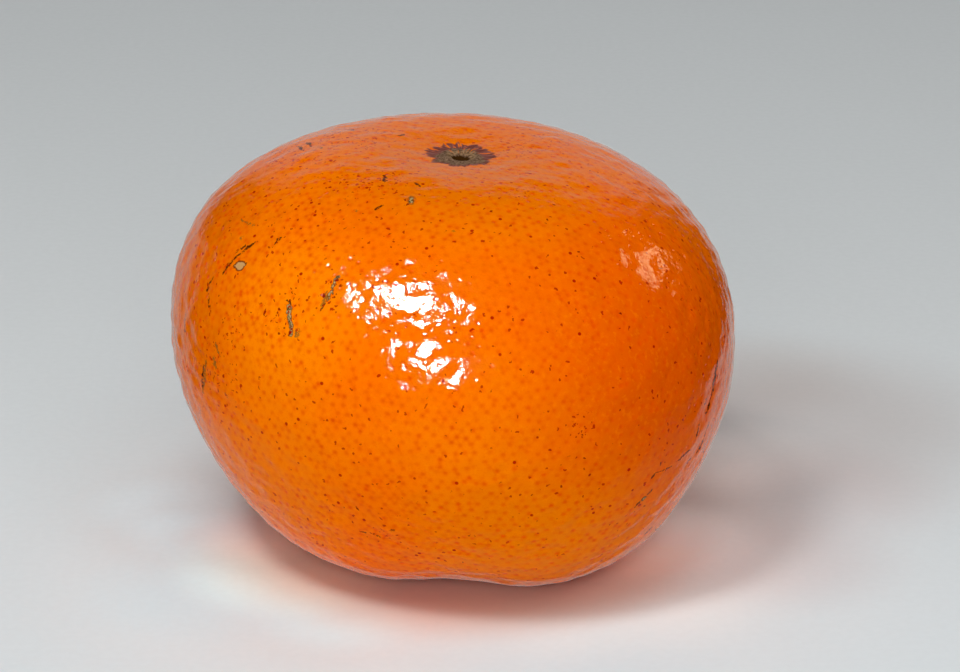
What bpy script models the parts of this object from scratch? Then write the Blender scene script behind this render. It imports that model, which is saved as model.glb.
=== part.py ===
"""A mandarin, picked bare: one solid fruit that stands on its stem end.

The skin is a sphere whose points are moved by one formula, skin_point. A longitude of 0 points
to +X and one of 90 degrees to +Y. A colatitude of 0 is the top, where the flower was, and one
of 180 degrees is the underside, where the stem was.
"""

import math

import bmesh
import bpy
from mathutils import Vector

MM = 0.001

# The body: two half profiles that meet at the widest ring. A power of 2 is an ellipse, and
# a larger one has squarer shoulders.
RADIUS = 32.1 * MM
UPPER_HEIGHT = 22.3 * MM
UPPER_POWER = 2.4
LOWER_HEIGHT = 26.3 * MM
LOWER_POWER = 2.05

# What makes this fruit uneven: seen from above it is a little oval and three-sided, its top
# leans, and one shoulder is fuller.
OVAL = 0.011
OVAL_TURN = math.radians(121)
THREE_SIDED = 0.02
THREE_SIDED_TURN = math.radians(61)
LEAN = 0.066
LEAN_TURN = math.radians(136)
SHOULDER_SWELL = 0.7 * MM
SHOULDER_LONGITUDE = math.radians(177)
SHOULDER_COLATITUDE = math.radians(69)
SHOULDER_SPREAD = 0.58

# The shallow basin on top, with the flower's scar: a low collar round a small pit
TOP_BASIN_DEPTH = 1.5 * MM
TOP_BASIN_REACH = 9.4 * MM
COLLAR_HEIGHT = 0.15 * MM
COLLAR_RADIUS = 1.9 * MM
COLLAR_WIDTH = 0.6 * MM
PIT_DEPTH = 0.8 * MM
PIT_REACH = 1.0 * MM

# The underside: four lobes that the fruit stands on, round a basin with the stem's scar
LOBES = 4
LOBE_HEIGHT = 2.5 * MM
LOBE_TURN = math.radians(43)
LOBE_COLATITUDE = math.radians(145)
LOBE_SPREAD = math.radians(23)
LOBE_BIAS = 0.15
LOBE_VALLEYS = 0.55
LOBE_START = 4.0 * MM
BASE_BASIN_DEPTH = 2.4 * MM
BASE_BASIN_REACH = 11.4 * MM
FURROWS = 9
FURROW_DEPTH = 0.3 * MM
FURROW_RADIUS = 5.5 * MM
FURROW_WIDTH = 2.6 * MM
STEM_SCAR_DEPTH = 0.5 * MM
STEM_SCAR_REACH = 1.9 * MM
RESTING_FLAT = 0.5 * MM

SEGMENTS = 80
RINGS = 48
POLE_CROWDING = 0.9


def swell(distance, reach):
    """A smooth hump: 1 at the middle, falling to nothing a few reaches away."""
    return math.exp(-((distance / reach) ** 2))


def profile(colatitude):
    """The distance from the axis and the height of the even body."""
    if colatitude < math.pi / 2:
        height, power = UPPER_HEIGHT, UPPER_POWER
    else:
        height, power = -LOWER_HEIGHT, LOWER_POWER
    radius = RADIUS * math.sin(colatitude) ** (2 / power)
    return radius, height * abs(math.cos(colatitude)) ** (2 / power)


def top_relief(radius):
    """How far the flower's end is raised at this distance from the axis."""
    basin = -TOP_BASIN_DEPTH * swell(radius, TOP_BASIN_REACH)
    collar = COLLAR_HEIGHT * swell(radius - COLLAR_RADIUS, COLLAR_WIDTH)
    return basin + collar - PIT_DEPTH * swell(radius, PIT_REACH)


def base_relief(radius, longitude):
    """How far the stem's end is raised, which on the underside makes a hollow."""
    basin = BASE_BASIN_DEPTH * swell(radius, BASE_BASIN_REACH)
    ripple = 0.5 + 0.5 * math.cos(FURROWS * longitude)
    furrow = FURROW_DEPTH * ripple * swell(radius - FURROW_RADIUS, FURROW_WIDTH)
    return basin + furrow + STEM_SCAR_DEPTH * swell(radius, STEM_SCAR_REACH)


def outward_swell(longitude, colatitude, radius, outward):
    """How far the lobes of the base and the full shoulder stand out from the even body."""
    valley = 0.5 - 0.5 * math.cos(LOBES * (longitude - LOBE_TURN))
    share = 1 + LOBE_BIAS * math.cos(longitude)
    ring = LOBE_HEIGHT * swell(colatitude - LOBE_COLATITUDE, LOBE_SPREAD)
    ring *= 1 - swell(radius, LOBE_START)
    middle = direction(SHOULDER_LONGITUDE, SHOULDER_COLATITUDE)
    shoulder = math.exp((outward.dot(middle) - 1) / SHOULDER_SPREAD**2)
    return ring * share * (1 - LOBE_VALLEYS * valley**2) + SHOULDER_SWELL * shoulder


def direction(longitude, colatitude):
    return Vector(
        (
            math.sin(colatitude) * math.cos(longitude),
            math.sin(colatitude) * math.sin(longitude),
            math.cos(colatitude),
        )
    )


def skin_point(longitude, colatitude):
    """The point of the skin there, with the widest ring of the body at height 0."""
    radius, height = profile(colatitude)
    if colatitude < math.pi / 2:
        height += top_relief(radius)
    else:
        height += base_relief(radius, longitude)
    upper_share = 0.5 + 0.5 * math.cos(colatitude)
    height += LEAN * radius * math.cos(longitude - LEAN_TURN) * upper_share
    radius *= (
        1
        + OVAL * math.cos(2 * (longitude - OVAL_TURN))
        + THREE_SIDED * math.cos(3 * (longitude - THREE_SIDED_TURN))
    )
    point = Vector((radius * math.cos(longitude), radius * math.sin(longitude), height))
    outward = direction(longitude, colatitude)
    return point + outward * outward_swell(longitude, colatitude, radius, outward)


def crowded(colatitude):
    """The same turn from pole to pole, with its rings closer together at both poles."""
    return colatitude - 0.5 * POLE_CROWDING * math.sin(2 * colatitude)


def fruit_mesh():
    shape = bmesh.new()
    bmesh.ops.create_uvsphere(shape, u_segments=SEGMENTS, v_segments=RINGS, radius=1)
    for vertex in shape.verts:
        longitude = math.atan2(vertex.co.y, vertex.co.x)
        colatitude = math.acos(max(-1.0, min(1.0, vertex.co.z)))
        vertex.co = skin_point(longitude, crowded(colatitude))
    rest_on_ground(shape)
    bmesh.ops.recalc_face_normals(shape, faces=shape.faces)
    mesh = bpy.data.meshes.new("mandarin")
    shape.to_mesh(mesh)
    shape.free()
    mesh.shade_smooth()
    return mesh


def rest_on_ground(shape):
    """Flattens the lobes where they meet the ground, and puts the middle of the fruit's
    outline on the ground at the origin."""
    ground = min(vertex.co.z for vertex in shape.verts) + RESTING_FLAT
    across = [vertex.co.x for vertex in shape.verts]
    along = [vertex.co.y for vertex in shape.verts]
    middle_x = (min(across) + max(across)) / 2
    middle_y = (min(along) + max(along)) / 2
    for vertex in shape.verts:
        height = max(vertex.co.z - ground, 0.0)
        vertex.co = Vector((vertex.co.x - middle_x, vertex.co.y - middle_y, height))


def peel():
    """Glossy orange peel."""
    material = bpy.data.materials.new("peel")
    material.use_nodes = True
    shader = material.node_tree.nodes["Principled BSDF"]
    shader.inputs["Base Color"].default_value = (0.90, 0.22, 0.01, 1)
    shader.inputs["Roughness"].default_value = 0.35
    shader.inputs["Metallic"].default_value = 0.0
    material.diffuse_color = (0.90, 0.22, 0.01, 1)
    return material


def main():
    for old in list(bpy.data.objects):
        bpy.data.objects.remove(old, do_unlink=True)
    group = bpy.data.collections.new("mandarin")
    bpy.context.scene.collection.children.link(group)
    mesh = fruit_mesh()
    mesh.materials.append(peel())
    group.objects.link(bpy.data.objects.new("mandarin", mesh))


main()
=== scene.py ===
"""The mandarin's looks: fine skin with oil glands and scars, a pale table and soft light."""
import math

import bmesh
import bpy
import numpy as np
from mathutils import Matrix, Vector
from mathutils.kdtree import KDTree


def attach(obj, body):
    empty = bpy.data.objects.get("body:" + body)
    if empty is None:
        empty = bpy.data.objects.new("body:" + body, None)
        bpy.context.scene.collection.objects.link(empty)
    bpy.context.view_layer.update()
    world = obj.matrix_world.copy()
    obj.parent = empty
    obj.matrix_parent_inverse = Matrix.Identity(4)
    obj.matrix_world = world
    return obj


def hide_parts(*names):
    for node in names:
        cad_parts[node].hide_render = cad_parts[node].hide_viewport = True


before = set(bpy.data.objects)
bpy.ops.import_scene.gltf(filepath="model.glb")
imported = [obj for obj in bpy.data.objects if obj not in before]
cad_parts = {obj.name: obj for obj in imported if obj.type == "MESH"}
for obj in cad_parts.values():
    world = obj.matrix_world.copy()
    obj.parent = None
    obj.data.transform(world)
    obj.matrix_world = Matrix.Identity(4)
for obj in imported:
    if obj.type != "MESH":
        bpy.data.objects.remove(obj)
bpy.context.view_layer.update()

MM = 0.001

# The fruit's form, as in the part's own script
RADIUS = 32.1 * MM
UPPER_HEIGHT = 22.3 * MM
UPPER_POWER = 2.4
LOWER_HEIGHT = 26.3 * MM
LOWER_POWER = 2.05
OVAL = 0.011
OVAL_TURN = math.radians(121)
THREE_SIDED = 0.02
THREE_SIDED_TURN = math.radians(61)
LEAN = 0.066
LEAN_TURN = math.radians(136)
SHOULDER_SWELL = 0.7 * MM
SHOULDER_LONGITUDE = math.radians(177)
SHOULDER_COLATITUDE = math.radians(69)
SHOULDER_SPREAD = 0.58
TOP_BASIN_DEPTH = 1.5 * MM
TOP_BASIN_REACH = 9.4 * MM
COLLAR_HEIGHT = 0.15 * MM
COLLAR_RADIUS = 1.9 * MM
COLLAR_WIDTH = 0.6 * MM
PIT_DEPTH = 0.8 * MM
PIT_REACH = 1.0 * MM
LOBES = 4
LOBE_HEIGHT = 2.5 * MM
LOBE_TURN = math.radians(43)
LOBE_COLATITUDE = math.radians(145)
LOBE_SPREAD = math.radians(23)
LOBE_BIAS = 0.15
LOBE_VALLEYS = 0.55
LOBE_START = 4.0 * MM
BASE_BASIN_DEPTH = 2.4 * MM
BASE_BASIN_REACH = 11.4 * MM
FURROWS = 9
FURROW_DEPTH = 0.3 * MM
FURROW_RADIUS = 5.5 * MM
FURROW_WIDTH = 2.6 * MM
STEM_SCAR_DEPTH = 0.5 * MM
STEM_SCAR_REACH = 1.9 * MM
RESTING_FLAT = 0.5 * MM

# The oil glands are the corners of a finely cut ball. Each is moved by up to this share of
# their spacing, which for an even triangle grid follows from its area.
GLAND_ROUNDS = 6
GLAND_JITTER = 0.27
EVEN_PACKING = 0.866

# The low waves of the fine skin: the length and height of each, how many make one field, and
# the height below which they fade so that the fruit stands flat
WAVES = ((6.0 * MM, 0.024 * MM), (2.8 * MM, 0.028 * MM), (1.6 * MM, 0.017 * MM))
WAVE_COUNT = 40
CALM_HEIGHT = 1.5 * MM
SEED = 5

# How finely the form is sampled to find its box, and its profile to spread the glands
FORM_STEPS = 361
PROFILE_STEPS = 721

# Marks on the skin. Each has its longitude and colatitude in degrees, its length and width in
# millimetres, and how far it is turned from south towards greater longitudes. Cork is a tan
# scar with a dark edge, a score is a thin dark line and a smear is a soft brown stain.
CORK = (
    (-128.2, 68.5, 4.2, 0.60, 24),
    (-120.5, 56.3, 3.6, 0.45, 0),
    (-110.8, 24.6, 1.2, 0.50, 20),
    (-49.8, 112.8, 1.5, 0.30, 122),
)
SCORES = (
    (-130.2, 63.8, 1.1, 0.30, 63),
    (-121.2, 62.2, 1.2, 0.28, -25),
    (-120.8, 29.5, 1.3, 0.42, 155),
    (-151.5, 62.0, 2.6, 0.42, 170),
    (-150.2, 57.8, 2.7, 0.36, 154),
    (-148.8, 54.0, 2.4, 0.34, 146),
    (-151.0, 55.8, 1.9, 0.28, 148),
    (-142.0, 49.8, 2.0, 0.34, -173),
    (-154.8, 69.0, 2.4, 0.34, 166),
    (-152.5, 73.5, 1.6, 0.34, 28),
    (-161.5, 82.5, 2.5, 0.36, 16),
    (-152.0, 89.3, 2.4, 0.32, -23),
    (-152.8, 92.5, 1.3, 0.36, 6),
    (-48.7, 106.0, 1.2, 0.30, 134),
    (-45.5, 105.2, 2.8, 0.28, 90),
    (-40.5, 103.7, 2.0, 0.29, 112),
    (-37.7, 102.2, 1.8, 0.29, 116),
    (-36.0, 98.5, 2.3, 0.40, 168),
    (-35.5, 106.5, 2.1, 0.28, 103),
    (-32.8, 104.2, 2.0, 0.42, 149),
    (-31.5, 99.7, 1.9, 0.44, 171),
    (-32.3, 93.5, 1.7, 0.50, 149),
    (-30.7, 90.5, 1.8, 0.55, 145),
    (-29.2, 87.3, 2.9, 0.70, 157),
    (-34.0, 91.7, 0.9, 0.30, 153),
    (-47.2, 102.7, 0.8, 0.28, 180),
    (-50.6, 113.2, 1.8, 0.36, 134),
    (-48.2, 111.0, 1.0, 0.30, 111),
    (-39.5, 127.7, 1.7, 0.28, 153),
    (-36.5, 53.5, 0.8, 0.26, 77),
    (-112.5, 121.0, 0.9, 0.36, 81),
    (-109.0, 121.3, 1.1, 0.32, 55),
    (-105.0, 118.0, 1.0, 0.36, 134),
    (-89.5, 130.0, 1.0, 0.22, 153),
    (-132.0, 19.3, 1.8, 0.55, 42),
    (-113.5, 17.8, 1.2, 0.40, 64),
    (170.8, 29.8, 2.4, 0.50, 115),
    (167.0, 28.5, 2.4, 0.50, 119),
    (150.5, 22.3, 1.6, 0.50, 175),
    (144.2, 11.1, 1.1, 0.40, -84),
)
# Dark red specks, each with its longitude, colatitude and width
SPOTS = (
    (-130.0, 61.0, 0.34),
    (-130.2, 63.3, 0.40),
    (-131.5, 66.5, 0.36),
    (-131.8, 67.5, 0.34),
    (-135.2, 68.8, 0.38),
    (-127.5, 70.3, 0.52),
    (-127.5, 71.8, 0.44),
    (-129.2, 70.8, 0.34),
    (-130.2, 72.8, 0.32),
    (-140.8, 76.5, 0.38),
    (-135.0, 43.3, 0.32),
    (-120.2, 54.3, 0.48),
    (-118.5, 55.3, 0.40),
    (-119.3, 58.8, 0.34),
    (-122.0, 59.5, 0.46),
    (-121.5, 63.5, 0.38),
    (-119.7, 52.3, 0.32),
    (-171.8, 58.5, 0.34),
    (-112.5, 112.7, 0.42),
    (-88.2, 118.2, 0.36),
    (-130.0, 98.7, 0.34),
    (-46.0, 50.5, 0.30),
    (-14.3, 53.5, 0.36),
    (-54.8, 61.5, 0.38),
    (-113.5, 24.8, 0.36),
    (-110.8, 26.3, 0.42),
    (-78.0, 25.8, 0.42),
    (-52.0, 26.0, 0.38),
    (-59.8, 30.3, 0.36),
    (138.5, 8.3, 0.40),
    (-57.0, 41.3, 0.40),
    (-75.2, 88.0, 0.36),
    (-66.8, 89.8, 0.36),
    (-66.2, 95.5, 0.34),
    (-70.5, 102.5, 0.38),
    (-76.0, 104.7, 0.32),
    (-48.4, 115.3, 0.34),
)
SMEARS = (
    (-110.8, 24.6, 2.0, 1.00, 20),
    (-125.7, 71.0, 1.3, 0.80, 10),
    (-121.4, 60.5, 2.4, 0.80, -4),
    (-156.2, 49.3, 3.4, 0.36, 97),
    (-153.2, 53.5, 0.60, 0.60, 0),
    (-147.0, 83.0, 1.8, 0.50, 35),
    (-147.8, 86.3, 1.5, 0.90, 13),
    (-143.8, 91.7, 1.0, 0.50, 20),
    (-127.7, 32.5, 0.70, 0.70, 0),
    (-92.2, 33.3, 0.50, 0.50, 0),
    (175.0, 25.0, 1.6, 0.50, 120),
    (-151.8, 90.5, 4.6, 0.80, -14),
)
# Crowds of tiny specks, each with its longitude, colatitude and radius
CLUSTERS = (
    (-132.0, 19.5, 3.2),
    (-138.0, 23.5, 3.4),
    (-131.0, 67.0, 3.0),
    (-120.5, 57.0, 2.4),
    (-147.0, 88.0, 5.0),
    (-143.0, 77.0, 3.0),
    (-101.0, 59.0, 1.6),
    (-60.7, 19.0, 2.2),
    (-108.0, 121.5, 2.4),
    (-68.0, 88.0, 2.4),
    (165.0, 24.0, 9.0),
    (20.0, 12.0, 5.0),
)
# Where more of the strewn specks are drawn: longitude, colatitude, radius and softness
SPECKLED = (-140, 30, 24, 0.9)
# Strewn specks: the width of the cells that each is drawn in, and its radius, in millimetres
COARSE_SPECKS = (2.1, 0.24)
TINY_SPECKS = (1.0, 0.20)
DENSE_SPECKS = (0.55, 0.16)
# The pale scab with a dark rim on the left shoulder
RING = (-148.0, 60.0, 1.7, 1.05, 121)
# A long mark's straight middle line sinks under the bent skin by the square of half its length
# over this many millimetres
SKIN_BEND = 120.0
# The step in degrees that finds the way along the skin
SKIN_STEP = 0.2

# Broad patches of the peel. Each has its longitude, colatitude, radius in millimetres, softness
# and colour. The darker top and left rim are painted shade, and the redder right side is partly
# the peel's own colour and partly painted shade.
PEEL_PATCHES_AND_SHADE = (
    (-45, 80, 28, 0.9, (232, 87, 0)),
    (-131, 66, 13, 0.8, (254, 132, 0)),
    (-75, 128, 20, 0.8, (240, 121, 0)),
    (-175, 78, 24, 0.9, (226, 106, 0)),
    (-90, 6, 21, 0.8, (236, 118, 0)),
)

# The other colours of the fruit, like those above as seen on screen, 0 to 255
PEEL_RED = (251, 112, 0)
PEEL_GOLD = (251, 122, 0)
PEEL_NET = (255, 142, 4)
PEEL_GRAIN = (232, 88, 0)
GLAND = (232, 74, 0)
SMEAR_BROWN = (118, 86, 30)
CORK_EDGE = (104, 46, 6)
CORK_DARK = (92, 66, 26)
CORK_PALE = (186, 154, 100)
SCAB_PALE = (200, 150, 92)
SCAB_RIM = (112, 50, 14)
SCORE_DARK = (84, 28, 6)
SPECK_RED = (176, 14, 0)
SPOT_RED = (138, 0, 0)
STAR_DARK = (112, 58, 50)
STAR_PALE = (142, 92, 84)
DISC_DARK = (88, 64, 48)
DISC_PALE = (138, 110, 86)
COLLAR_TAN = (160, 126, 84)
PIT_DARK = (58, 34, 10)
WOOD_DARK = (126, 96, 52)
WOOD_PALE = (196, 172, 116)
STEM_YELLOW = (196, 150, 20)
STEM_RIM = (84, 74, 24)

# The peel's shader
BUMP_DEPTH = 0.026 * MM
COAT_ROUGHNESS = 0.04
COAT_IOR = 1.4

# The photograph's view. The shift is in pixels, as shares of the picture's width.
PICTURE_WIDTH = 960
CAMERA_ELEVATION = math.radians(20)
CAMERA_DISTANCE = 0.3982
CAMERA_LENS = 130
CAMERA_SHIFT = (19.3 / PICTURE_WIDTH, -5.6 / PICTURE_WIDTH)

# The table's colours: far and near, a painted fall-off of the light; left and right of the fruit,
# painted shadow and painted light; and under its front, a reddish painted shade
FLOOR_FAR = (0.685, 0.72, 0.73, 1)
FLOOR_NEAR = (0.71, 0.777, 0.80, 1)
LEFT_PAINTED_SHADE = (0.94, 0.90, 0.89, 1)
RIGHT_PAINTED_LIGHT = (1.22, 1.13, 1.08, 1)
FOOT_PAINTED_SHADE = (1.0, 0.72, 0.62, 1)
GRAIN_TONE = (0.5, 0.5, 0.5, 1)
PAPER_GRAIN = 900
TABLE_HALF = 3

# Soft patches of painted shadow and painted light on the table. Each has its place and radius in
# metres, and what it multiplies the table's colour by.
FLOOR_PAINTED_LIGHT_AND_SHADE = (
    (-0.0185, -0.0105, 0.016, (1.30, 1.52, 1.46, 1)),
    (-0.0235, -0.0010, 0.010, (1.20, 1.08, 1.06, 1)),
    (-0.0338, 0.0078, 0.012, (1.06, 1.14, 1.17, 1)),
    (-0.0312, -0.0008, 0.009, (1.04, 1.14, 1.17, 1)),
    (-0.0270, -0.0170, 0.018, (0.92, 1.04, 1.08, 1)),
    (-0.0125, -0.0245, 0.011, (0.98, 1.17, 1.21, 1)),
    (0.0245, -0.0030, 0.015, (1.35, 1.45, 1.48, 1)),
    (0.0330, 0.0230, 0.016, (1.45, 1.44, 1.42, 1)),
    (0.0370, -0.0080, 0.018, (0.93, 0.84, 0.83, 1)),
    (0.0450, 0.0120, 0.020, (0.95, 0.87, 0.86, 1)),
    (0.0370, 0.0520, 0.022, (0.93, 0.89, 0.87, 1)),
    (0.0450, 0.0350, 0.036, (0.82, 0.75, 0.73, 1)),
    (0.0110, -0.0320, 0.022, (0.84, 0.92, 0.96, 1)),
)

# What the skin mirrors: how bright the table and backdrop are, and where the backdrop ends
BACKDROP_GLOW = 0.48
BACKDROP_TOP = 0.515
TABLE_GLOW_TONE = (1.0, 0.98, 0.95, 1)
BACKDROP_GLOW_TONE = (0.68, 0.67, 0.64, 1)

# Every lamp points at the middle of the fruit
MIDDLE = Vector((0, 0, 25 * MM))
LAMP_DISTANCE = 0.8


def swell(distance, reach):
    """A smooth hump: 1 at the middle, falling to nothing a few reaches away."""
    return np.exp(-((distance / reach) ** 2))


def directions(longitude, colatitude):
    """The ways out from the middle, one for each pair of turns."""
    side = np.sin(colatitude)
    return np.stack([side * np.cos(longitude), side * np.sin(longitude), np.cos(colatitude)], -1)


def profile(colatitude):
    """The distance from the axis and the height of the even body."""
    upper = colatitude < math.pi / 2
    power = np.where(upper, UPPER_POWER, LOWER_POWER)
    height = np.where(upper, UPPER_HEIGHT, -LOWER_HEIGHT)
    radius = RADIUS * np.sin(colatitude) ** (2 / power)
    return radius, height * np.abs(np.cos(colatitude)) ** (2 / power)


def end_relief(radius, longitude, colatitude):
    """The basins, scars and furrows at both ends."""
    top = COLLAR_HEIGHT * swell(radius - COLLAR_RADIUS, COLLAR_WIDTH)
    top = top - TOP_BASIN_DEPTH * swell(radius, TOP_BASIN_REACH)
    top = top - PIT_DEPTH * swell(radius, PIT_REACH)
    ripple = 0.5 + 0.5 * np.cos(FURROWS * longitude)
    base = BASE_BASIN_DEPTH * swell(radius, BASE_BASIN_REACH)
    base += FURROW_DEPTH * ripple * swell(radius - FURROW_RADIUS, FURROW_WIDTH)
    base += STEM_SCAR_DEPTH * swell(radius, STEM_SCAR_REACH)
    return np.where(colatitude < math.pi / 2, top, base)


def outward_swell(longitude, colatitude, radius, outward):
    """The lobes of the base and the full shoulder."""
    valley = 0.5 - 0.5 * np.cos(LOBES * (longitude - LOBE_TURN))
    share = 1 + LOBE_BIAS * np.cos(longitude)
    ring = LOBE_HEIGHT * swell(colatitude - LOBE_COLATITUDE, LOBE_SPREAD)
    ring = ring * (1 - swell(radius, LOBE_START))
    middle = directions(SHOULDER_LONGITUDE, SHOULDER_COLATITUDE)
    shoulder = np.exp((outward @ middle - 1) / SHOULDER_SPREAD**2)
    return ring * share * (1 - LOBE_VALLEYS * valley**2) + SHOULDER_SWELL * shoulder


def skin_points(longitude, colatitude):
    """Points of the skin, with the widest ring of the body at height 0."""
    radius, height = profile(colatitude)
    height = height + end_relief(radius, longitude, colatitude)
    upper_share = 0.5 + 0.5 * np.cos(colatitude)
    height = height + LEAN * radius * np.cos(longitude - LEAN_TURN) * upper_share
    wide = radius * (
        1
        + OVAL * np.cos(2 * (longitude - OVAL_TURN))
        + THREE_SIDED * np.cos(3 * (longitude - THREE_SIDED_TURN))
    )
    outward = directions(longitude, colatitude)
    points = np.stack([wide * np.cos(longitude), wide * np.sin(longitude), height], -1)
    return points + outward * outward_swell(longitude, colatitude, radius, outward)[..., None]


def form_offset():
    """What moves the form's own frame to the part's: its box's middle and its lowest point."""
    around = np.linspace(0, 2 * math.pi, FORM_STEPS)
    longitude, colatitude = np.meshgrid(around, np.linspace(0, math.pi, FORM_STEPS))
    points = skin_points(longitude, colatitude).reshape(-1, 3)
    low, high = points.min(0), points.max(0)
    return -np.array([(low[0] + high[0]) / 2, (low[1] + high[1]) / 2, low[2] + RESTING_FLAT])


OFFSET = form_offset()


def placed(longitude, colatitude):
    """Points of the skin in the part's frame, flattened where the lobes meet the ground."""
    points = skin_points(longitude, colatitude) + OFFSET
    points[..., 2] = np.maximum(points[..., 2], 0)
    return points


def even_colatitude(share):
    """The colatitude with this share of the skin above it, so that the glands lie evenly."""
    turn = np.linspace(0, math.pi, PROFILE_STEPS)
    radius, height = profile(turn)
    band = np.hypot(np.diff(radius), np.diff(height)) * (radius[1:] + radius[:-1])
    area = np.concatenate([[0], np.cumsum(band)])
    return np.interp(share, area / area[-1], turn)


def waves(points, length, rng):
    """A smooth random field of about this wavelength, between about -2 and 2."""
    turned = rng.normal(size=(WAVE_COUNT, 3))
    turned *= (2 * math.pi / length) / np.linalg.norm(turned, axis=1, keepdims=True)
    phase = rng.uniform(0, 2 * math.pi, WAVE_COUNT)
    return np.cos(points @ turned.T + phase).sum(1) * math.sqrt(2 / WAVE_COUNT)


def gland_sphere(rng):
    """A round mesh whose first points are the glands, with each face cut in nine."""
    shape = bmesh.new()
    bmesh.ops.create_icosphere(shape, subdivisions=GLAND_ROUNDS, radius=1)
    glands = len(shape.verts)
    spacing = math.sqrt(4 * math.pi / glands / EVEN_PACKING)
    for vertex in shape.verts:
        vertex.co += Vector(rng.uniform(-1, 1, 3) * spacing * GLAND_JITTER)
        vertex.co.normalize()
    bmesh.ops.subdivide_edges(shape, edges=shape.edges, cuts=2, use_grid_fill=True)
    mesh = bpy.data.meshes.new("mandarin_skin")
    shape.to_mesh(mesh)
    shape.free()
    return mesh, glands


def co_of(mesh, name="co"):
    """The vertices' places or normals, a row of three numbers for each."""
    values = np.empty(len(mesh.vertices) * 3, np.float32)
    mesh.vertices.foreach_get(name, values)
    return values.reshape(-1, 3).astype(float)


def keep(mesh, name, values):
    """Stores a value for each vertex, for the material to read."""
    mesh.attributes.new(name, "FLOAT", "POINT").data.foreach_set("value", values.astype(np.float32))


def gland_distances(points, middles):
    """Each point's way to the nearest gland, and which gland that is."""
    tree = KDTree(len(middles))
    for index, middle in enumerate(middles):
        tree.insert(middle, index)
    tree.balance()
    found = [tree.find(point)[1:] for point in points]
    return np.array([way for _, way in found]), np.array([index for index, _ in found])


def skin_mesh():
    """The fine skin: glands spread evenly over the part's form, with low waves between them."""
    rng = np.random.default_rng(SEED)
    mesh, glands = gland_sphere(rng)
    unit = co_of(mesh)
    unit /= np.linalg.norm(unit, axis=1, keepdims=True)
    longitude = np.arctan2(unit[:, 1], unit[:, 0])
    colatitude = even_colatitude((1 - unit[:, 2]) / 2)
    points = placed(longitude, colatitude)
    mesh.vertices.foreach_set("co", points.astype(np.float32).ravel())
    mesh.update()
    normal = co_of(mesh, "normal")
    away, index = gland_distances(points, points[:glands])
    keep(mesh, "gland_away", away / MM)
    keep(mesh, "gland_strength", rng.uniform(0.3, 1.0, glands)[index])
    relief = np.zeros(len(points))
    for length, height in WAVES:
        relief += height * waves(points, length, rng)
    relief *= np.clip(points[:, 2] / CALM_HEIGHT, 0, 1)
    points += normal * relief[:, None]
    mesh.vertices.foreach_set("co", points.astype(np.float32).ravel())
    mesh.update()
    mesh.shade_smooth()
    return mesh


class Nodes:
    """Short calls for building the nodes of a material or world."""

    def __init__(self, owner):
        owner.use_nodes = True
        self.tree = owner.node_tree

    def feed(self, socket, value):
        if isinstance(value, bpy.types.NodeSocket):
            self.tree.links.new(value, socket)
        elif value is not None:
            socket.default_value = value

    def math(self, operation, a, b=None, c=None):
        node = self.tree.nodes.new("ShaderNodeMath")
        node.operation = operation
        for socket, value in zip(node.inputs, (a, b, c)):
            self.feed(socket, value)
        return node.outputs[0]

    def vector(self, operation, a, b=None, scale=None):
        node = self.tree.nodes.new("ShaderNodeVectorMath")
        node.operation = operation
        self.feed(node.inputs[0], a)
        self.feed(node.inputs[1], b)
        self.feed(node.inputs[3], scale)
        return node.outputs["Value" if operation in ("LENGTH", "DISTANCE") else "Vector"]

    def ramp(self, value, low, high, to_low=0.0, to_high=1.0):
        """The value's place between low and high, eased at both ends."""
        node = self.tree.nodes.new("ShaderNodeMapRange")
        node.interpolation_type = "SMOOTHSTEP"
        for socket, number in zip(node.inputs, (value, low, high, to_low, to_high)):
            self.feed(socket, number)
        return node.outputs[0]

    def mix(self, share, a, b, kind="MIX"):
        node = self.tree.nodes.new("ShaderNodeMix")
        node.data_type, node.blend_type = "RGBA", kind
        self.feed(node.inputs["Factor"], share)
        self.feed(node.inputs["A"], a)
        self.feed(node.inputs["B"], b)
        return node.outputs["Result"]

    def noise(self, place, scale, detail=2.0, roughness=0.5, colour=False):
        node = self.tree.nodes.new("ShaderNodeTexNoise")
        self.feed(node.inputs["Vector"], place)
        self.feed(node.inputs["Scale"], scale)
        self.feed(node.inputs["Detail"], detail)
        self.feed(node.inputs["Roughness"], roughness)
        return node.outputs["Color" if colour else "Fac"]

    def part(self, value, index):
        """One of a vector's or a colour's three numbers."""
        node = self.tree.nodes.new("ShaderNodeSeparateXYZ")
        self.feed(node.inputs[0], value)
        return node.outputs[index]

    def attribute(self, name):
        node = self.tree.nodes.new("ShaderNodeAttribute")
        node.attribute_name = name
        return node.outputs["Fac"]

    def bump(self, height, distance):
        node = self.tree.nodes.new("ShaderNodeBump")
        self.feed(node.inputs["Height"], height)
        self.feed(node.inputs["Distance"], distance)
        self.feed(node.inputs["Strength"], 1.0)
        return node.outputs[0]


def colour(seen):
    """A colour of the shader from one as seen on screen, 0 to 255."""
    def linear(value):
        value /= 255
        return value / 12.92 if value <= 0.04045 else ((value + 0.055) / 1.055) ** 2.4
    return (*map(linear, seen), 1.0)


def skin_frame(longitude, colatitude, turn):
    """A place on the skin in millimetres, the way along a mark there, and the way out."""
    step = math.radians(SKIN_STEP)
    around, down = math.radians(longitude), math.radians(colatitude)
    longitudes = np.array([around, around + step, around])
    here, east, south = placed(longitudes, np.array([down, down, down + step]))
    east, south = Vector(east - here).normalized(), Vector(south - here).normalized()
    along = south * math.cos(math.radians(turn)) + east * math.sin(math.radians(turn))
    return Vector(here) / MM, along.normalized(), south.cross(east).normalized()


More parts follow.
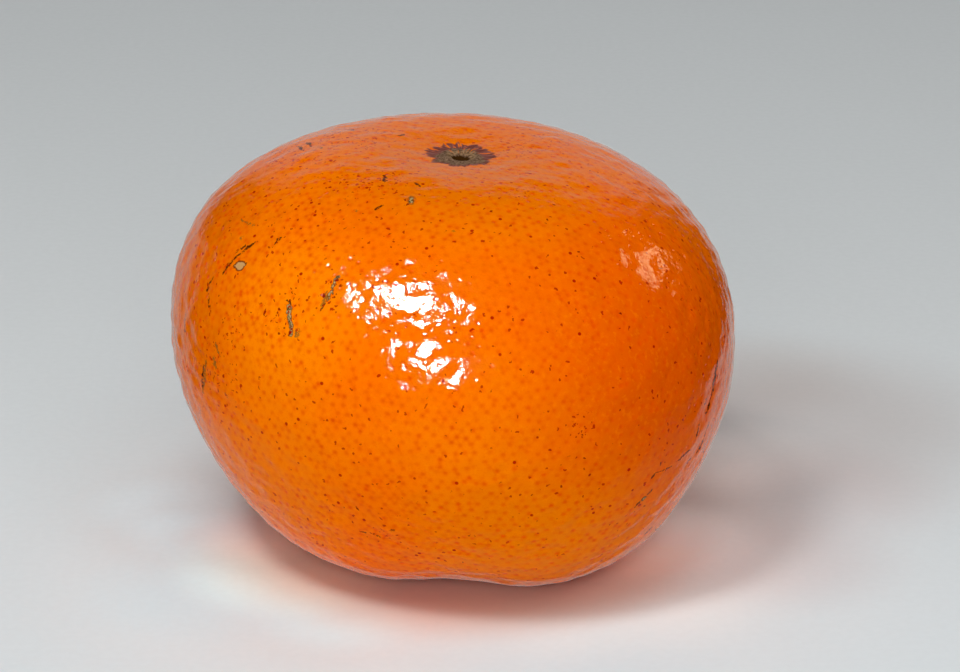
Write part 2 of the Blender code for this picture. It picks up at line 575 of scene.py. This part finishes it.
def reach(nodes, place, mark):
    """How far out a point is from a mark: 0 on its middle line and 1 at its edge."""
    longitude, colatitude, length, width, turn = mark
    middle, along, out = skin_frame(longitude, colatitude, turn)
    if length == width:
        return nodes.math("MULTIPLY", nodes.vector("DISTANCE", place, middle), 2 / length)
    half = math.sqrt(length**2 - width**2) / 2
    middle = middle - out * half**2 / SKIN_BEND
    ways = [nodes.vector("DISTANCE", place, middle + along * half * side) for side in (-1, 1)]
    further = nodes.math("SUBTRACT", nodes.math("ADD", *ways), 2 * half)
    return nodes.math("MULTIPLY", further, 1 / (length - 2 * half))


def nearest(nodes, place, marks):
    """How far out a point is from the nearest of the marks."""
    found = reach(nodes, place, marks[0])
    for mark in marks[1:]:
        found = nodes.math("MINIMUM", found, reach(nodes, place, mark))
    return found


def zone(nodes, place, longitude, colatitude, size, softness):
    """1 round a place on the skin, and 0 further from it than this many millimetres."""
    middle = skin_frame(longitude, colatitude, 0)[0]
    return nodes.ramp(nodes.vector("DISTANCE", place, middle), size, size * (1 - softness))


def specks(nodes, place, size, radius, share):
    """Small round specks strewn at random over a share of the cells."""
    node = nodes.tree.nodes.new("ShaderNodeTexVoronoi")
    nodes.feed(node.inputs["Vector"], place)
    node.inputs["Scale"].default_value = 1 / size
    drawn = nodes.math("LESS_THAN", nodes.part(node.outputs["Color"], 0), share)
    round_speck = nodes.ramp(node.outputs["Distance"], radius / size, 0.65 * radius / size)
    return nodes.math("MULTIPLY", drawn, round_speck)


def skin_colour(nodes, place, away, strength):
    """The peel's own oranges, before any mark."""
    broad = nodes.noise(place, 0.07, 2)
    patchy = nodes.noise(place, 0.18, 2)
    mesh = nodes.noise(place, 1.7, 3, 0.6)
    grain = nodes.noise(place, 4.0, 2, 0.6)
    base = nodes.mix(nodes.ramp(broad, 0.35, 0.65), colour(PEEL_RED), colour(PEEL_GOLD))
    # Some patches are painted shade: the top, the left rim and part of the redder right side
    for *where, tone in PEEL_PATCHES_AND_SHADE:
        base = nodes.mix(zone(nodes, place, *where), base, colour(tone))
    base = nodes.mix(nodes.ramp(mesh, 0.5, 0.72, 0.0, 0.26), base, colour(PEEL_NET))
    base = nodes.mix(nodes.ramp(grain, 0.5, 0.75, 0.0, 0.3), base, colour(PEEL_GRAIN))
    dot = nodes.math("MULTIPLY", nodes.ramp(away, 0.54, 0.04), strength)
    dot = nodes.math("MULTIPLY", dot, nodes.ramp(patchy, 0.35, 0.6, 0.6, 0.95))
    return nodes.mix(dot, base, colour(GLAND))


def blemishes(nodes, place, base):
    """Scars, scores, smears and specks over the oranges."""
    shift = nodes.vector("SUBTRACT", nodes.noise(place, 1.3, 2, 0.6, True), (0.5, 0.5, 0.5))
    rough_place = nodes.vector("ADD", place, shift)
    grain = nodes.noise(place, 3.4, 2, 0.7)
    smear = nodes.ramp(nearest(nodes, rough_place, SMEARS), 1.3, 0.1)
    smear = nodes.math("MULTIPLY", smear, nodes.ramp(grain, 0.36, 0.54))
    base = nodes.mix(nodes.math("MULTIPLY", smear, 0.85), base, colour(SMEAR_BROWN))
    cork = nearest(nodes, rough_place, CORK)
    edge = nodes.ramp(grain, 0.36, 0.52, 0.3, 1.0)
    edge = nodes.math("MULTIPLY", nodes.ramp(cork, 1.9, 1.0), edge)
    base = nodes.mix(edge, base, colour(CORK_EDGE))
    tan = nodes.mix(nodes.ramp(grain, 0.4, 0.58), colour(CORK_DARK), colour(CORK_PALE))
    base = nodes.mix(nodes.ramp(cork, 0.95, 0.6), base, tan)
    around = reach(nodes, rough_place, RING)
    base = nodes.mix(nodes.ramp(around, 0.95, 0.6), base, colour(SCAB_PALE))
    ring = nodes.math("ABSOLUTE", nodes.math("SUBTRACT", around, 1.0))
    ring = nodes.ramp(ring, 0.62, 0.3, 0.0, 0.9)
    score = nodes.ramp(nearest(nodes, rough_place, SCORES), 1.4, 0.5)
    score = nodes.math("MULTIPLY", score, nodes.ramp(grain, 0.36, 0.5, 0.1, 1.0))
    base = nodes.mix(ring, base, colour(SCAB_RIM))
    base = nodes.mix(score, base, colour(SCORE_DARK))
    marks = [(longitude, colatitude, size, size, 0) for longitude, colatitude, size in SPOTS]
    spot = nodes.ramp(nearest(nodes, rough_place, marks), 1.1, 0.7)
    crowd = zone(nodes, place, *CLUSTERS[0], 0.5)
    for cluster in CLUSTERS[1:]:
        crowd = nodes.math("MAXIMUM", crowd, zone(nodes, place, *cluster, 0.5))
    share = nodes.ramp(nodes.noise(place, 0.16, 2), 0.42, 0.62, 0.3, 0.62)
    shoulder = nodes.math("MULTIPLY", zone(nodes, place, *SPECKLED), 0.7)
    share = nodes.math("ADD", share, shoulder)
    coarse = specks(nodes, place, *COARSE_SPECKS, share)
    tiny = specks(nodes, rough_place, *TINY_SPECKS, share)
    crowd = nodes.math("MULTIPLY", crowd, 0.8)
    dense = specks(nodes, rough_place, *DENSE_SPECKS, crowd)
    strewn = nodes.math("MAXIMUM", coarse, nodes.math("MULTIPLY", tiny, 0.9))
    strewn = nodes.math("MAXIMUM", strewn, nodes.math("MULTIPLY", dense, 0.9))
    base = nodes.mix(nodes.math("MULTIPLY", strewn, 0.97), base, colour(SPECK_RED))
    return nodes.mix(nodes.math("MULTIPLY", spot, 0.95), base, colour(SPOT_RED))


def way_from_core(nodes, place):
    """The level way from the upright line through the middle of both scars."""
    centre = Vector(OFFSET) / MM
    way = nodes.vector("SUBTRACT", place, (centre.x, centre.y, 0))
    return nodes.vector("MULTIPLY", way, (1, 1, 0))


def flower_scar(nodes, place, base):
    """The dry star on top: purple-brown points, a browner disc and a dark pit."""
    from_axis = way_from_core(nodes, place)
    radius = nodes.vector("LENGTH", from_axis)
    direction = nodes.vector("NORMALIZE", from_axis)
    upper = nodes.math("GREATER_THAN", nodes.part(place, 2), 30)
    teeth = nodes.noise(direction, 3.6, 2, 0.6)
    edge = nodes.math("ADD", nodes.math("MULTIPLY", teeth, 3.4), 2.1)
    out = nodes.math("DIVIDE", radius, edge)
    star = nodes.math("MULTIPLY", nodes.ramp(out, 1.04, 0.94), upper)
    spin = nodes.vector("SCALE", direction, scale=6)
    spin = nodes.vector("ADD", spin, nodes.vector("SCALE", from_axis, scale=0.35))
    streak = nodes.noise(spin, 1.3, 3, 0.6)
    grain = nodes.noise(place, 3.0, 3, 0.7)
    rim = nodes.mix(nodes.ramp(streak, 0.4, 0.62), colour(STAR_DARK), colour(STAR_PALE))
    disc = nodes.mix(nodes.ramp(grain, 0.38, 0.6), colour(DISC_DARK), colour(DISC_PALE))
    front = nodes.ramp(nodes.part(from_axis, 1), 0.5, -1.5, 0.0, 0.3)
    dry = nodes.mix(nodes.ramp(nodes.math("SUBTRACT", out, front), 0.66, 0.46), rim, disc)
    bare = nodes.ramp(nodes.part(from_axis, 1), 0.4, 1.4)
    bare = nodes.math("MULTIPLY", nodes.ramp(streak, 0.56, 0.62), bare)
    bare = nodes.math("MULTIPLY", bare, nodes.ramp(out, 0.3, 0.5))
    dry = nodes.mix(bare, dry, base)
    collar = nodes.math("ABSOLUTE", nodes.math("SUBTRACT", radius, 1.35))
    collar = nodes.ramp(collar, 0.45, 0.1, 0.0, 0.55)
    collar = nodes.math("MULTIPLY", collar, nodes.ramp(grain, 0.4, 0.55))
    dry = nodes.mix(collar, dry, colour(COLLAR_TAN))
    pit = nodes.math("SUBTRACT", radius, nodes.noise(direction, 2.0, 2))
    dry = nodes.mix(nodes.ramp(pit, 0.65, 0.4), dry, colour(PIT_DARK))
    return nodes.mix(star, base, dry), star, direction, radius


def stem_scar(nodes, place, base):
    """The pale, clean round scar that the stalk leaves underneath, with a greener rim."""
    radius = nodes.vector("LENGTH", way_from_core(nodes, place))
    radius = nodes.math("ADD", radius, nodes.noise(place, 1.6, 2))
    lower = nodes.math("LESS_THAN", nodes.part(place, 2), 12)
    grain = nodes.noise(place, 2.6, 3, 0.7)
    wood = nodes.mix(nodes.ramp(grain, 0.4, 0.62), colour(WOOD_DARK), colour(WOOD_PALE))
    paler = nodes.math("MULTIPLY", nodes.ramp(radius, 6.5, 3.0, 0, 0.6), lower)
    rim = nodes.math("MULTIPLY", nodes.ramp(radius, 3.1, 2.8), lower)
    scar = nodes.math("MULTIPLY", nodes.ramp(radius, 2.7, 2.3), lower)
    base = nodes.mix(paler, base, colour(STEM_YELLOW))
    base = nodes.mix(rim, base, colour(STEM_RIM))
    return nodes.mix(scar, base, wood)


def peel():
    """Glossy pitted peel with its marks, scars and glands."""
    material = bpy.data.materials.new("peel")
    nodes = Nodes(material)
    place = nodes.tree.nodes.new("ShaderNodeTexCoord").outputs["Object"]
    place = nodes.vector("SCALE", place, scale=1 / MM)
    away = nodes.attribute("gland_away")
    strength = nodes.attribute("gland_strength")
    base = skin_colour(nodes, place, away, strength)
    base = blemishes(nodes, place, base)
    base, star, direction, radius = flower_scar(nodes, place, base)
    base = stem_scar(nodes, place, base)
    shader = nodes.tree.nodes["Principled BSDF"]
    nodes.feed(shader.inputs["Base Color"], base)
    roughness = nodes.ramp(nodes.noise(place, 1.5, 2), 0.3, 0.7, 0.32, 0.45)
    nodes.feed(shader.inputs["Roughness"], roughness)
    shader.inputs["Specular IOR Level"].default_value = 0.0
    coat = nodes.ramp(nodes.part(place, 2), 0, 20, 0.6, 1.0)
    coat = nodes.math("MULTIPLY", coat, nodes.math("SUBTRACT", 1.0, star))
    nodes.feed(shader.inputs["Coat Weight"], coat)
    shader.inputs["Coat Roughness"].default_value = COAT_ROUGHNESS
    shader.inputs["Coat IOR"].default_value = COAT_IOR
    spokes = nodes.noise(nodes.vector("SCALE", direction, scale=9), 2.2, 2, 0.6)
    spokes = nodes.math("MULTIPLY", spokes, nodes.ramp(radius, 15, 4))
    dimple = nodes.math("MULTIPLY", nodes.ramp(away, 0.4, 0.0, 0.0, 1.15), strength)
    height = nodes.math("MULTIPLY", nodes.noise(place, 1.3, 3, 0.6), 1.5)
    height = nodes.math("SUBTRACT", height, dimple)
    height = nodes.math("ADD", height, spokes)
    grit = nodes.noise(place, 4.2, 2, 0.5)
    height = nodes.math("MULTIPLY_ADD", grit, 0.6, height)
    relief = nodes.bump(height, BUMP_DEPTH)
    nodes.feed(shader.inputs["Normal"], relief)
    nodes.feed(shader.inputs["Coat Normal"], relief)
    return material


def make_skin():
    """Puts the fine skin in the solid's place."""
    skin = bpy.data.objects.new("mandarin_skin", skin_mesh())
    bpy.context.scene.collection.objects.link(skin)
    skin.data.materials.append(peel())
    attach(skin, "root")
    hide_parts("mandarin")


def table_paper():
    """Pale paper with painted light and shade: darker far off and lighter near, painted shadow and
    painted light close round the fruit, and a reddish painted shade under its front.
    """
    material = bpy.data.materials.new("table")
    nodes = Nodes(material)
    place = nodes.tree.nodes.new("ShaderNodeTexCoord").outputs["Object"]
    # Darker far off and lighter near: a painted fall-off of the light
    paper = nodes.mix(nodes.ramp(nodes.part(place, 1), 0.09, -0.06), FLOOR_FAR, FLOOR_NEAR)
    away = nodes.vector("LENGTH", place)
    # Painted shadow left of the fruit, and painted light in its shadow on the right
    side = nodes.mix(nodes.ramp(nodes.part(place, 0), -0.02, 0.022), LEFT_PAINTED_SHADE, RIGHT_PAINTED_LIGHT)
    paper = nodes.mix(nodes.ramp(away, 0.047, 0.029), paper, side, "MULTIPLY")
    # A reddish painted shade under the fruit's front
    painted_foot_shade = nodes.ramp(nodes.part(place, 1), 0.006, -0.012)
    painted_foot_shade = nodes.math("MULTIPLY", nodes.ramp(away, 0.033, 0.022), painted_foot_shade)
    paper = nodes.mix(painted_foot_shade, paper, FOOT_PAINTED_SHADE, "MULTIPLY")
    # Patches of painted shadow and painted light round the fruit
    for x, y, size, tone in FLOOR_PAINTED_LIGHT_AND_SHADE:
        way = nodes.vector("DISTANCE", place, (x, y, 0))
        paper = nodes.mix(nodes.ramp(way, size, 0.2 * size), paper, tone, "MULTIPLY")
    grain = nodes.noise(place, PAPER_GRAIN, 2)
    shader = nodes.tree.nodes["Principled BSDF"]
    paper = nodes.mix(nodes.ramp(grain, 0.3, 0.7, 0.0, 0.04), paper, GRAIN_TONE)
    nodes.feed(shader.inputs["Base Color"], paper)
    nodes.feed(shader.inputs["Roughness"], nodes.ramp(grain, 0.3, 0.7, 0.7, 0.85))
    return material


def make_stage():
    """The table: wide, flat, and mirrored in the skin only through the world's light."""
    shape = bmesh.new()
    bmesh.ops.create_grid(shape, x_segments=1, y_segments=1, size=TABLE_HALF)
    mesh = bpy.data.meshes.new("table")
    shape.to_mesh(mesh)
    shape.free()
    floor = bpy.data.objects.new("table", mesh)
    bpy.context.scene.collection.objects.link(floor)
    mesh.materials.append(table_paper())
    floor.visible_glossy = False


def lamp(name, azimuth, elevation, size, power, tint=(1, 1, 1)):
    """A round light. An azimuth of 0 is +X and one of -90 degrees is the camera's side."""
    turn, rise = math.radians(azimuth), math.radians(elevation)
    level = math.cos(rise)
    away = Vector((level * math.cos(turn), level * math.sin(turn), math.sin(rise)))
    light = bpy.data.lights.new(name, "AREA")
    light.shape, light.size = "DISK", size
    light.energy, light.color = power, tint
    holder = bpy.data.objects.new(name, light)
    holder.location = MIDDLE + away * LAMP_DISTANCE
    holder.rotation_euler = away.to_track_quat("Z", "Y").to_euler()
    bpy.context.scene.collection.objects.link(holder)
    return holder


def soft_lamp(*values):
    """A light too broad and dim to show as a highlight."""
    lamp(*values).visible_glossy = False


def glint(*values):
    """The bright middle of a light, which shows only as a highlight."""
    holder = lamp(*values)
    holder.visible_diffuse = False
    holder.visible_transmission = False


def backdrop_glow(world):
    """What the skin mirrors at its rims: the table, and a dimmer backdrop of some width."""
    nodes = Nodes(world)
    way = nodes.tree.nodes.new("ShaderNodeTexCoord").outputs["Generated"]
    x, y, z = (nodes.part(way, index) for index in range(3))
    # Far behind the fruit: the table, and the backdrop above it
    table = nodes.ramp(nodes.math("MULTIPLY_ADD", x, 0.3, z), -0.05, -0.15)
    wall = nodes.ramp(z, BACKDROP_TOP + 0.03, BACKDROP_TOP - 0.03)
    wall = nodes.math("MULTIPLY", wall, nodes.ramp(nodes.math("ABSOLUTE", x), 0.44, 0.28))
    depth = nodes.math("MULTIPLY_ADD", nodes.math("MAXIMUM", x, 0.0), 0.15, y)
    seen = nodes.math("MULTIPLY", nodes.math("MAXIMUM", table, wall), nodes.ramp(depth, 0.56, 0.72))
    # The table close under the fruit, much dimmer
    below = nodes.math("MULTIPLY", nodes.ramp(z, -0.3, -0.6, 0.0, 0.28), nodes.ramp(y, -0.3, 0.4))
    seen = nodes.math("MAXIMUM", seen, below)
    # The brighter table low at the left rear
    left = nodes.math("MULTIPLY", nodes.ramp(x, -0.1, -0.3), nodes.ramp(z, -0.35, -0.5))
    left = nodes.math("MULTIPLY", left, nodes.ramp(y, 0.25, 0.55, 0.0, 0.85))
    seen = nodes.math("MAXIMUM", seen, left)
    # Only mirrored rays see this, and the camera sees every direction at full strength
    path = nodes.tree.nodes.new("ShaderNodeLightPath")
    seen = nodes.math("MULTIPLY", seen, path.outputs["Is Glossy Ray"])
    seen = nodes.math("MAXIMUM", seen, path.outputs["Is Camera Ray"])
    background = nodes.tree.nodes["Background"]
    nodes.feed(background.inputs["Strength"], nodes.math("MULTIPLY", seen, BACKDROP_GLOW))
    tone = nodes.mix(nodes.ramp(z, -0.1, 0.3), TABLE_GLOW_TONE, BACKDROP_GLOW_TONE)
    nodes.feed(background.inputs["Color"], tone)


def make_lights():
    """Soft lamps for the even light, and small bright ones for the highlights alone. Each has
    its azimuth and elevation in degrees, its width in metres and its power in watts."""
    world = bpy.data.worlds.new("studio")
    backdrop_glow(world)
    bpy.context.scene.world = world
    soft_lamp("key", -133, 61, 0.16, 1.78)
    soft_lamp("overhead", -100, 70, 0.39, 1.93)
    soft_lamp("low front", -90, 20, 0.39, 2.05)
    soft_lamp("low left", -150, 20, 0.39, 0.26)
    soft_lamp("left", -150, 50, 0.39, 0.26)
    soft_lamp("right", -52, 50, 0.39, 0.89)
    soft_lamp("right rear", 30, 20, 0.39, 0.74)
    soft_lamp("rear", 100, 20, 0.39, 0.42)
    glint("key glint", -128, 59, 0.25, 24.0)
    glint("front glint", -108, 22, 0.17, 11.0)
    glint("rear glint", 35, 31, 0.15, 0.34, (1, 0.80, 0.42))
    bpy.context.scene.view_settings.view_transform = "Standard"


def make_camera():
    """The photograph's view: level across, from a little above."""
    camera = bpy.data.cameras.new("camera")
    camera.lens = CAMERA_LENS
    camera.shift_x, camera.shift_y = CAMERA_SHIFT
    camera.clip_start, camera.clip_end = 0.01, 10
    back = Vector((0, -math.cos(CAMERA_ELEVATION), math.sin(CAMERA_ELEVATION)))
    holder = bpy.data.objects.new("camera", camera)
    holder.location = Vector(OFFSET) + back * CAMERA_DISTANCE
    holder.rotation_euler = back.to_track_quat("Z", "Y").to_euler()
    bpy.context.scene.collection.objects.link(holder)
    bpy.context.scene.camera = holder


make_skin()
make_stage()
make_lights()
make_camera()
